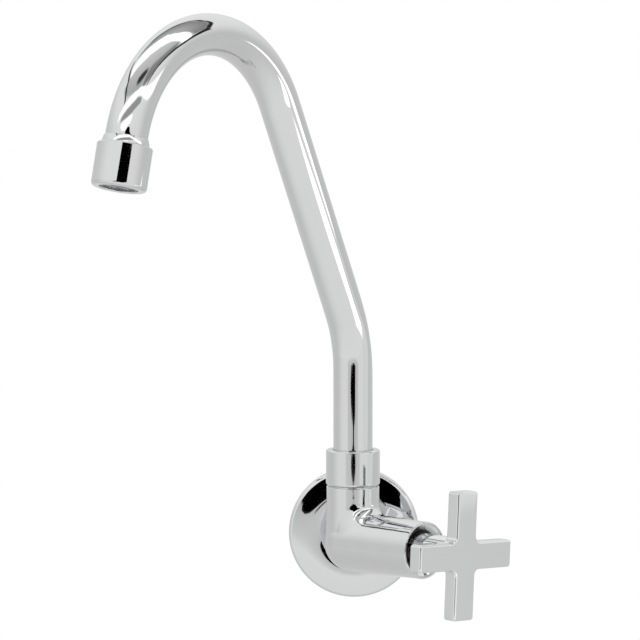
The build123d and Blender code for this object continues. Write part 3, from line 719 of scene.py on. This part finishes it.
def crossHandleGrid():
    # Rows of the cross's outline drawn in by inset(v) along its normals at depth(v), for the front, the
    # rounded edges and the sides, and then rows of circles for the hub, where a point keeps its angle about
    # the axis.
    h = crossHandle
    outline, normal = crossOutline()
    quarter = np.linspace(0, np.pi / 2, h["edgeSteps"])
    roundIn = h["edgeRound"] * (1 - np.sin(quarter))
    roundDown = h["edgeRound"] * (1 - np.cos(quarter))
    back = h["front"] - h["depth"]
    inset = np.concatenate([roundIn, roundIn[::-1]])
    depth = np.concatenate([h["front"] - roundDown, back + roundDown[::-1]])
    rim = outline[None] - inset[:, None, None] * normal[None]
    angle = np.arctan2(outline[:, 1], outline[:, 0])
    blend = np.linspace(0, np.pi / 2, h["hubSteps"])
    foot = h["hubStart"]
    hubRadius = np.concatenate(
        [
            h["hub"] + h["hubBlend"] * (1 - np.sin(blend)),
            [h["hub"], h["hub"], h["hub"] - h["hubEdge"], h["recess"], h["recess"]],
        ]
    )
    hubDepth = np.concatenate(
        [
            back - h["hubBlend"] * (1 - np.cos(blend)),
            [back - h["hubRoot"], foot + h["hubEdge"], foot, foot, foot + h["recessDepth"]],
        ]
    )
    circles = hubRadius[:, None, None] * np.stack([np.cos(angle), np.sin(angle)], -1)[None]
    flat = np.concatenate([rim[:1] * h["faceShare"], rim, circles])
    along = np.concatenate([[h["front"]], depth, hubDepth])[:, None]
    turn = math.radians(h["turn"])
    # the CAD's local x is level and its local y is up, and the place's side is up, so x goes on the rise
    # with its sign turned
    x = flat[..., 0] * math.cos(turn) - flat[..., 1] * math.sin(turn)
    y = flat[..., 0] * math.sin(turn) + flat[..., 1] * math.cos(turn)
    return inPlace(valvePlace, y, -x, along)


newPiece(
    "crossHandle", [shell(crossHandleGrid())], "handle", handleChromePaintedLight, ["cross_handle"],
)

# The inner and small CAD nodes keep their shape and get finishes of their own. tones are two colours and
# the waves a millimetre of the noise that mixes them, roughness is the same with two numbers, and grain is
# the waves a millimetre and the lift in millimetres of the bumps.
nodeFinishes = {
    "blackRubber": {
        "tones": ((0.02, 0.02, 0.021), (0.045, 0.044, 0.043), 0.8), "roughness": (0.45, 0.7, 1.2),
        "metallic": 0.0, "grain": (3, 0.02),
        "nodes": [
            "flange_grip_ring", "spout_oring_upper", "spout_oring_lower", "seat_seal",
            "spindle_oring_inner", "spindle_oring_outer", "aerator_washer",
        ],
    },
    "naturalNylon": {
        "tones": ((0.80, 0.79, 0.74), (0.88, 0.87, 0.83), 0.3), "roughness": (0.35, 0.5, 0.9),
        "metallic": 0.0, "grain": (2, 0.01), "nodes": ["friction_washer", "glide_ring", "thrust_washer"],
    },
    "redFibre": {
        "tones": ((0.38, 0.09, 0.06), (0.52, 0.16, 0.10), 1.5), "roughness": (0.7, 0.9, 2), "metallic": 0.0,
        "grain": (4, 0.03), "nodes": ["headwork_gasket"],
    },
    "turnedBrass": {
        "tones": ((0.72, 0.52, 0.24), (0.82, 0.64, 0.34), 0.2), "roughness": (0.18, 0.32, 0.8),
        "metallic": 1.0, "grain": (1.5, 0.01), "nodes": ["headwork_body", "swivel_bush", "spindle"],
    },
    "whiteCeramic": {
        "tones": ((0.86, 0.85, 0.82), (0.92, 0.91, 0.89), 0.4), "roughness": (0.10, 0.16, 1),
        "metallic": 0.0, "grain": (6, 0.002), "nodes": ["fixed_disc"],
    },
    "darkCeramic": {
        "tones": ((0.09, 0.09, 0.10), (0.14, 0.14, 0.15), 0.4), "roughness": (0.10, 0.16, 1),
        "metallic": 0.0, "grain": (6, 0.002), "nodes": ["moving_disc"],
    },
    "springSteel": {
        "tones": ((0.40, 0.41, 0.43), (0.50, 0.50, 0.52), 0.8), "roughness": (0.25, 0.4, 1.5),
        "metallic": 1.0, "grain": (3, 0.01), "nodes": ["spindle_clip"],
    },
    "stainlessScrew": {
        "tones": ((0.52, 0.52, 0.51), (0.62, 0.62, 0.61), 1.0), "roughness": (0.2, 0.35, 2),
        "metallic": 1.0, "grain": (3, 0.01), "nodes": ["handle_grub_screw"],
    },
    "greyAcetal": {
        "tones": ((0.50, 0.51, 0.52), (0.58, 0.59, 0.60), 0.5), "roughness": (0.4, 0.55, 1.5),
        "metallic": 0.0, "grain": (3, 0.01), "nodes": ["aerator_cage", "aerator_diffuser"],
    },
    "wovenSteel": {
        "tones": ((0.44, 0.44, 0.45), (0.56, 0.56, 0.57), 2.0), "roughness": (0.25, 0.45, 2),
        "metallic": 1.0, "grain": (5, 0.02), "nodes": ["aerator_screen_upper", "aerator_screen_lower"],
    },
}


def mottled(low, high, waves):
    return lambda graph: graph.blend(graph.noise(waves, detail=3), low, high)


def uneven(low, high, waves):
    # low + (high - low) * noise
    return lambda graph: low + (high - low) * graph.noise(waves, detail=3)


def grained(waves, lift):
    return lambda graph: graph.bump(graph.noise(waves, detail=3), lift)


for name, finish in nodeFinishes.items():
    tint, wear, grain = mottled(*finish["tones"]), uneven(*finish["roughness"]), grained(*finish["grain"])
    material = newMaterial(name, tint, wear, finish["metallic"], grain)
    for node in finish["nodes"]:
        mesh = frame["nodes"][node].data
        mesh.materials.clear()
        mesh.materials.append(material)
print("inner nodes finished")

# The camera, where the photograph was taken from.
camera = {
    "place": (0.032156, -1.613179, 0.231727),
    "forward": (-0.03025043, 0.99645658, -0.07848048),
    "up": (-0.00238141, 0.07844434, 0.99691565),
    "lens": 185.07, "sensor": 36, "nearest": 0.05, "farthest": 60,
}


def makeCamera():
    # the columns of the camera's matrix are right = forward x up, up, -forward and its place
    data = bpy.data.cameras.new("photoCamera")
    data.lens, data.sensor_width = camera["lens"], camera["sensor"]
    data.clip_start, data.clip_end = camera["nearest"], camera["farthest"]
    holder = bpy.data.objects.new("photoCamera", data)
    bpy.context.scene.collection.objects.link(holder)
    forward, up = np.array(camera["forward"]), np.array(camera["up"])
    matrix = np.eye(4)
    matrix[:3] = np.column_stack([np.cross(forward, up), up, -forward, camera["place"]])
    holder.matrix_world = Matrix(matrix.tolist())
    bpy.context.scene.camera = holder


makeCamera()

# The studio: lamps and sheets round the object that only its chrome shows, a pale floor and a white
# background.
studio = {
    "centre": (0.0, -0.03, 0.12), "distance": 1.55, "rows": 80, "columns": 41, "zenithFrom": 89,
    "roundFrom": 359,
}
# Each lamp or sheet has its glow at the lower and the upper edge, how much nearer it hangs, how many
# degrees its edges fade over, and rows of azimuth, lower edge and upper edge in degrees as seen from the
# object. Azimuth 0 is towards the camera and 90 to the camera's right.
studioSheets = {
    "darkOpening": {
        "glow": (0.0, 0.0), "nearer": 0.0, "fade": 0.25,
        "edges": [
            (-23.5, -1.5, 3), (-22, -4.2, 7), (-17.5, -6.6, 10), (-12, -7.9, 13), (-10.5, -8.1, 20),
            (-7.2, -8.4, 24.2), (-1.6, -8.6, 25.4), (0.8, -8.75, 25.5), (1.4, -10.6, 25.6), (7, -10.6, 25),
            (7.6, -8.8, 24.9), (12, -8.6, 23.8), (14.4, -8.4, 21.7), (15.2, -4, 21), (17.5, -0.6, 20.2),
            (19, 2, 19.6), (20, 8, 19.3), (26, 9.5, 17.8), (29, 12, 17), (31, 14, 16),
        ],
    },
    "darkStand": {
        "glow": (0.0, 0.0), "nearer": -0.01, "fade": 0.15,
        "edges": [
            (-6.6, -10.2, -9.5), (-4.9, -10.5, -9.4), (-1, -10.75, -9.3), (3, -11, -9.2),
            (7.5, -10.75, -9.3), (10.8, -10.4, -9.4), (12, -10.1, -9.5),
        ],
    },
    "dimHalo": {
        "glow": (0.9, 0.58), "nearer": -0.03, "fade": 5.0,
        "edges": [
            (-32, -13, 0), (-25, -18, 4), (-10, -19, 0), (4, -18.5, -5), (16, -18, -4), (27, -15, 0),
            (34, -12, 4),
        ],
    },
    "ceilingLamp": {
        "glow": (1.5, 2.0), "nearer": 0.0, "fade": 2.0,
        "edges": [
            (-180, 80, 90), (-160, 79, 90), (-140, 77, 90), (-125, 71, 90), (-116, 63, 90), (-112, 54, 90),
            (-108, 49, 90), (-88, 49, 90), (-80, 52, 90), (-75, 61, 90), (-60, 70, 90), (-40, 77, 90),
            (0, 79, 90), (40, 77, 90), (60, 72, 90), (73, 64, 90), (78, 55, 90), (83, 44, 90), (87, 33, 90),
            (90.5, 26, 90), (93.5, 31, 90), (95.5, 50, 90), (98, 62, 90), (101, 71, 90), (110, 75, 90),
            (120, 78, 90), (140, 81, 90), (160, 82, 90), (180, 80, 90),
        ],
    },
    "greySheetFront": {
        "glow": (0.55, 0.85), "nearer": -0.04, "fade": 4.0,
        "edges": [(-86, 42, 62), (-60, 42, 72), (-20, 46, 82), (40, 42, 80), (86, 34, 66)],
    },
    "dimSheetFront": {
        "glow": (0.22, 0.4), "nearer": 0.0, "fade": 5.0,
        "edges": [(22, 38, 54), (34, 39, 60), (46, 38, 58), (60, 38, 54), (86, 28, 46)],
    },
    "blackSpot": {
        "glow": (0.06, 0.06), "nearer": 0.04, "fade": 4.5,
        "edges": [(-22, 55, 60), (-9, 50.5, 63.5), (5, 50, 64.5), (18, 51.5, 62.5), (27, 55, 59)],
    },
    "frontLamp": {
        "glow": (1.6, 1.6), "nearer": 0.03, "fade": 1.2,
        "edges": [
            (-58, 27, 34), (-42, 33, 42), (-25, 38, 46.5), (-5, 39.8, 48.5), (20, 39.5, 46.8),
            (35, 34.5, 41.5), (50, 26.5, 34.5), (70, 16.5, 25.5), (86, 10.5, 18.5),
        ],
    },
    "underLamp": {
        "glow": (0.4, 0.45), "nearer": 0.01, "fade": 1.5,
        "edges": [
            (-42, 28.5, 33), (-34, 30, 36), (-20, 31.5, 39), (0, 32, 40.5), (20, 31.5, 40), (33, 30, 36),
            (41, 28, 32),
        ],
    },
    "lowLamp": {
        "glow": (1.6, 1.6), "nearer": 0.02, "fade": 0.9,
        "edges": [
            (-36, 26.5, 29.5), (-25, 24.5, 31.5), (-7, 24, 32.4), (0, 26, 32.5), (9, 26, 32),
            (16, 28, 30.5),
        ],
    },
    "leftBeam": {
        "glow": (0.04, 0.04), "nearer": 0.06, "fade": 0.9,
        "edges": [
            (-127, 39, 42.5), (-115, 41.5, 45), (-105, 44, 47.5), (-95, 46, 49.8), (-85, 47, 50.8),
            (-70, 45, 49), (-60, 44, 48), (-44, 39.5, 43.5),
        ],
    },
    "rightBeam": {
        "glow": (0.03, 0.03), "nearer": 0.06, "fade": 0.9,
        "edges": [
            (43, 36, 39.5), (52, 38, 41.8), (60, 38.5, 42.3), (68, 37, 41), (75, 34.5, 39), (84, 30, 35.2),
            (91, 25.5, 32), (98, 25, 34.5), (105, 28, 35.5),
        ],
    },
    "backBeam": {
        "glow": (0.03, 0.05), "nearer": 0.06, "fade": 0.9,
        "edges": [
            (99, 26, 34.5), (104, 31, 37.5), (110, 38, 44), (115, 41.6, 46.4), (119, 43.6, 48.4),
            (123, 46, 50.4), (130, 50, 54.2), (139, 55, 58.8), (145, 56.5, 60), (155, 58, 61.2),
            (165, 60, 63.3), (180, 61, 64.6), (195, 59.5, 63.8), (205, 57.5, 62), (215, 53.5, 58.5),
            (224, 49, 55),
        ],
    },
    "greySheetBack": {
        "glow": (0.27, 0.68), "nearer": -0.04, "fade": 3.0,
        "edges": [
            (93, 34, 66), (100, 33, 74), (104, 35, 76), (110, 41, 78), (119, 46, 81), (130, 52, 83),
            (145, 58, 84), (165, 61.5, 84), (180, 62, 83), (205, 58, 82), (223, 50, 80), (235, 44, 72),
            (241, 44, 62),
        ],
    },
    "sideLamp": {
        "glow": (1.9, 1.9), "nearer": 0.04, "fade": 0.8,
        "edges": [
            (56, -26, -23.5), (61, -25.5, -19), (66, -24, -15.5), (71, -22.4, -13.2), (76, -19.5, -12.4),
            (80, -17.4, -11.2), (84, -15.4, -11), (86, -14.6, -11.2),
        ],
    },
    "sideLampHigh": {
        "glow": (1.9, 1.9), "nearer": 0.04, "fade": 0.5,
        "edges": [
            (85, -6.6, -5), (88, -6.7, -2), (94, -6.6, 0), (97, -6.4, 0.5), (100, -5, 0.5), (103, -3, 0),
        ],
    },
    "sideGlow": {
        "glow": (0.93, 0.93), "nearer": 0.02, "fade": 1.0,
        "edges": [(76, -12, -5.5), (84, -12, -5.5), (92, -11, -5.5), (100, -9, -5)],
    },
}


def hangSheet(name, glow, nearer, fade, edges):
    # point(a, h) = centre + (distance - nearer) * (sin a * cos h, -cos a * cos h, sin h), where h goes from
    # the lower edge to the upper edge at a, both straight between their rows. The mesh's "glow" is the
    # brightness, and its "cover" the solidness, x * x * (3 - 2 * x) of x = degrees inside the edges / fade.
    azimuth, low, high = np.array(edges, float).T
    fine = np.unique(np.concatenate([np.linspace(azimuth[0], azimuth[-1], studio["rows"]), azimuth]))
    low, high = np.interp(fine, azimuth, low)[:, None], np.interp(fine, azimuth, high)[:, None]
    share = (1 - np.cos(np.linspace(0, np.pi, studio["columns"]))) / 2  # close together at the edges
    height = low + (high - low) * share
    turn, tilt = np.radians(fine)[:, None], np.radians(height)
    parts = (np.sin(turn) * np.cos(tilt), -np.cos(turn) * np.cos(tilt), np.sin(tilt))
    direction = np.stack(np.broadcast_arrays(*parts), -1)
    points = np.array(studio["centre"]) + (studio["distance"] - nearer) * direction
    # nothing fades where a sheet reaches the zenith, or at the ends of one that goes all the way round
    toTop = np.where(high > studio["zenithFrom"], 90, high - height)
    inside = np.minimum(toTop, height - low)
    if fine[-1] - fine[0] < studio["roundFrom"]:
        toSide = np.minimum(fine - fine[0], fine[-1] - fine)
        inside = np.minimum(inside, toSide[:, None] * np.cos(tilt))
    x = np.clip(inside / fade, 0, 1)
    quads = gridQuads(np.arange(height.size).reshape(height.shape))
    sheet = newObject(name, points.reshape(-1, 3), quads.tolist())
    brightness = glow[0] + (glow[1] - glow[0]) * np.broadcast_to(share, height.shape)
    for label, values in (("glow", brightness), ("cover", x * x * (3 - 2 * x))):
        attribute = sheet.data.attributes.new(label, "FLOAT", "POINT")
        attribute.data.foreach_set("value", values.astype(np.float32).ravel())
    material, graph = emptyMaterial(name)
    glowing, covering = (
        graph.add("ShaderNodeAttribute", {"attribute_name": label}, output="Fac")
        for label in ("glow", "cover")
    )
    nothing = graph.add("ShaderNodeBsdfTransparent")
    mixed = graph.add("ShaderNodeMixShader", {}, {0: covering, 1: nothing, 2: graph.emission(glowing)})
    graph.add("ShaderNodeOutputMaterial", {}, {"Surface": mixed})
    sheet.data.materials.append(material)
    sheet.visible_camera = False


# The floor, in metres: chrome sees it bright in front of the object and dimmer behind it.
paleFloor = {
    "depth": -0.8, "radius": 3.4, "colour": (0.92, 0.92, 0.92), "rings": 24, "around": 96,
    "firstRing": 0.02, "fadeFrom": 1.2, "fadeTo": 0.97, "nearBy": 0.6, "farOff": 0.75, "brightTo": -0.6,
    "dimFrom": 0.2, "dimming": 0.26, "mirrorShare": 0.9,
}


def makeFloor():
    # A disc, point(r, a) = (r cos a, r sin a, depth), that fades to the white background towards its rim.
    # By mirrorShare, glossy and transmitted rays see a brightness of
    # 1 - dimming * smooth(y / (nearBy + farOff * distance)) instead.
    f = paleFloor
    radius = np.linspace(f["firstRing"], 1, f["rings"])[:, None] * f["radius"]
    turn = np.linspace(0, 2 * np.pi, f["around"], endpoint=False)
    grid = np.stack(np.broadcast_arrays(radius * np.cos(turn), radius * np.sin(turn), f["depth"]), -1)
    index = np.arange(f["rings"] * f["around"]).reshape(f["rings"], f["around"])
    quads = gridQuads(np.concatenate([index, index[:, :1]], 1).T)
    disc = newObject("paleFloor", grid.reshape(-1, 3), quads.tolist() + [index[0].tolist()])
    material, graph = emptyMaterial("paleFloor")
    away = graph.vector("LENGTH", graph.place(), output="Value")
    fade = graph.smooth(away, f["fadeFrom"], f["fadeTo"] * f["radius"])
    matt = graph.add("ShaderNodeBsdfDiffuse", {}, {"Color": (*f["colour"], 1)})
    mixed = graph.add("ShaderNodeMixShader", {}, {0: fade, 1: matt, 2: graph.emission(1.0)})
    behind = graph.part(graph.place(), "Y") / (f["nearBy"] + f["farOff"] * away)
    mirrored = graph.emission(1 - f["dimming"] * graph.smooth(behind, f["brightTo"], f["dimFrom"]))
    reflected = f["mirrorShare"] * (graph.ray("Glossy") + graph.ray("Transmission"))
    seen = graph.add("ShaderNodeMixShader", {}, {0: reflected, 1: mixed, 2: mirrored})
    graph.add("ShaderNodeOutputMaterial", {}, {"Surface": seen})
    disc.data.materials.append(material)


# The background's brightness, and how much of it glossy rays see: mirrored low behind the object, frontLift
# more in front of it and highLift more high up, less frontShare of that in front.
studioWorld = {
    "level": 0.92, "mirrored": 0.75, "frontLift": 0.22, "highLift": 0.30, "frontShare": 0.7,
    "behindFrom": 0.2, "frontFrom": -0.6, "lowTo": 0.05, "highFrom": 0.6,
}


def makeWorld():
    # Camera and transmitted rays see 1 and diffuse rays level, while glossy rays see
    # mirrored + frontLift * front + highLift * high * (1 - frontShare * front).
    w = studioWorld
    world = bpy.data.worlds.new("studio")
    bpy.context.scene.world = world
    graph = Graph(world)
    direction = graph.add("ShaderNodeTexCoord", output="Generated")
    front = graph.smooth(graph.part(direction, "Y"), w["behindFrom"], w["frontFrom"])
    high = graph.smooth(graph.part(direction, "Z"), w["lowTo"], w["highFrom"])
    lifted = w["frontLift"] * front + w["highLift"] * high * (1 - w["frontShare"] * front)
    mirrored = (w["mirrored"] - w["level"]) + lifted
    white = (1 - w["level"]) * (graph.ray("Camera") + graph.ray("Transmission"))
    level = w["level"] + white + graph.ray("Glossy") * mirrored
    background = graph.add("ShaderNodeBackground", {}, {"Color": level, "Strength": 1.0})
    graph.add("ShaderNodeOutputWorld", {}, {"Surface": background})


for name, sheet in studioSheets.items():
    hangSheet(name, **sheet)
makeFloor()
makeWorld()
bpy.context.scene.view_settings.view_transform = "Standard"
print("studio made with", len(studioSheets), "lamps and sheets")
